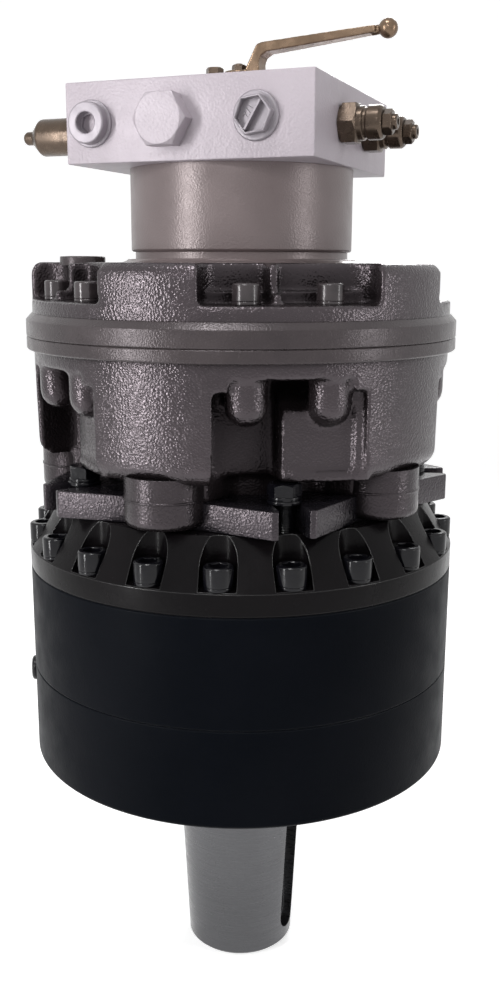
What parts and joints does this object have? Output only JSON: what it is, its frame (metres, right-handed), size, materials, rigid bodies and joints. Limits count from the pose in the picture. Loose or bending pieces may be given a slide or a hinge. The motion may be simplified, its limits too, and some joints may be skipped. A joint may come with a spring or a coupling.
{
  "type": "hydraulic drive motor",
  "caption": "Five-lobed radial piston hydraulic motor on a planetary gear case, with a tapered output shaft below and a valve block with a lever on top.",
  "frame": {"origin": "centre of the gear case's flat underside, on the common axis", "axes": "+Z along the axis towards the valve block; -Y is the side that faces the camera; +X is the camera's right"},
  "size_m": [0.293, 0.29, 0.6371],
  "materials": {
    "shaft_steel": "ground and turned steel",
    "case_black": "deep black satin paint on a machined case",
    "casting_black": "glossy black paint over a rough casting",
    "neck_paint": "dark satin paint on a turned neck",
    "screw_black": "painted socket and hexagon heads",
    "block_steel": "pale plated steel block",
    "plug_plated": "pale zinc plated fittings",
    "port_cap": "moulded port plug",
    "lever_cast": "cast lever, satin",
    "seal_rubber": "lip seal",
    "gear_steel": "hardened gear steel",
    "bearing_steel": "bearing steel"
  },
  "bodies": {
    "housing": {"shaft_seal": "seal_rubber", "seal_cover": "case_black", "seal_cover_screws": "screw_black", "lower_bearing_outer": "bearing_steel", "lower_bearing_rollers": "bearing_steel", "upper_bearing_outer": "bearing_steel", "upper_bearing_rollers": "bearing_steel", "lower_case": "case_black", "ring_gear": "case_black", "input_cover": "case_black", "cover_screws": "screw_black", "cover_washers": "screw_black", "input_bearing": "bearing_steel", "side_plug": "screw_black", "front_housing": "casting_black", "mounting_bolts": "screw_black", "mounting_washers": "screw_black", "rear_housing": "casting_black", "joint_screws": "screw_black", "joint_washers": "screw_black", "front_crank_bearing": "bearing_steel", "rear_crank_bearing": "bearing_steel", "pistons": "gear_steel", "drain_plug": "screw_black", "distributor_housing": "neck_paint", "valve_block": "block_steel", "block_bolts": "screw_black", "socket_plug": "plug_plated", "hex_plug": "plug_plated", "port_plug": "port_cap", "left_cartridge": "plug_plated", "left_adjuster": "plug_plated", "front_cartridge": "plug_plated", "front_adjuster": "plug_plated", "rear_cartridge": "plug_plated", "rear_adjuster": "plug_plated", "top_bolt": "plug_plated", "spindle_gland": "plug_plated"},
    "output": {"output_shaft": "shaft_steel", "lower_bearing_inner": "bearing_steel", "upper_bearing_inner": "bearing_steel", "planet_carrier": "gear_steel", "planet_pins": "gear_steel"},
    "input": {"sun_gear": "gear_steel", "input_coupling": "gear_steel", "crankshaft": "gear_steel", "eccentric_ring": "gear_steel", "distributor_rotor": "gear_steel"},
    "lever_valve": {"lever": "lever_cast", "valve_spindle": "plug_plated", "lever_nut": "plug_plated"},
    "planet_1": {"planet_gear_1": "gear_steel"},
    "planet_2": {"planet_gear_2": "gear_steel"},
    "planet_3": {"planet_gear_3": "gear_steel"}
  },
  "joints": [
    {"name": "output_spin", "type": "hinge", "parent": "housing", "child": "output", "pos_m": [0, 0, 0], "axis": [0, 0, 1], "continuous": true},
    {"name": "input_spin", "type": "hinge", "parent": "housing", "child": "input", "pos_m": [0, 0, 0.2], "axis": [0, 0, 1], "continuous": true},
    {"name": "planet_spin_1", "type": "hinge", "parent": "output", "child": "planet_1", "pos_m": [0.066, 0, 0.0972], "axis": [0, 0, 1], "continuous": true},
    {"name": "planet_spin_2", "type": "hinge", "parent": "output", "child": "planet_2", "pos_m": [-0.033, 0.05716, 0.0972], "axis": [0, 0, 1], "continuous": true},
    {"name": "planet_spin_3", "type": "hinge", "parent": "output", "child": "planet_3", "pos_m": [-0.033, -0.05716, 0.0972], "axis": [0, 0, 1], "continuous": true},
    {"name": "lever_turn", "type": "hinge", "parent": "housing", "child": "lever_valve", "pos_m": [-0.00179, -0.01763, 0.439], "axis": [0, 0, 1], "range_deg": [0, 90]}
  ],
  "couplings": [
    {"joint": "input_spin", "follows": "output_spin", "ratio": 4.4},
    {"joint": "planet_spin_1", "follows": "output_spin", "ratio": -2.8333},
    {"joint": "planet_spin_2", "follows": "output_spin", "ratio": -2.8333},
    {"joint": "planet_spin_3", "follows": "output_spin", "ratio": -2.8333}
  ]
}
